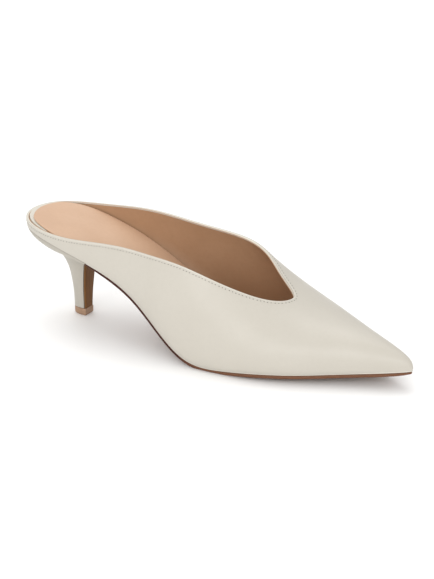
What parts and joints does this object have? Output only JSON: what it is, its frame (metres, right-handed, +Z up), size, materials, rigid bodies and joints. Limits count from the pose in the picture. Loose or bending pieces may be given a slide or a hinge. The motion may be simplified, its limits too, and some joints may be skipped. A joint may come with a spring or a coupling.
{
  "type": "kitten-heel mule",
  "caption": "Backless pointed mule for the right foot with a deep V throat, low rim round the heel, thin sole and a low curved heel with a small flat tip.",
  "frame": {"origin": "centre of the bounding box in plan, on the floor plane", "axes": "+X towards the toe, +Z up, +Y towards the medial side of this right shoe"},
  "size_m": [0.2616, 0.0876, 0.0653],
  "materials": {
    "upper": "smooth, semi-gloss, off-white",
    "insole": "smooth, off-white edge",
    "sock": "matt, tan",
    "heel": "smooth leather cover, off-white",
    "outsole": "waxed, brown with a dark edge",
    "top_piece": "matt, tan"
  },
  "bodies": {
    "root": {"upper": "upper", "insole": "insole", "sock": "sock", "heel": "heel", "outsole": "outsole", "top_piece": "top_piece"}
  },
  "joints": []
}
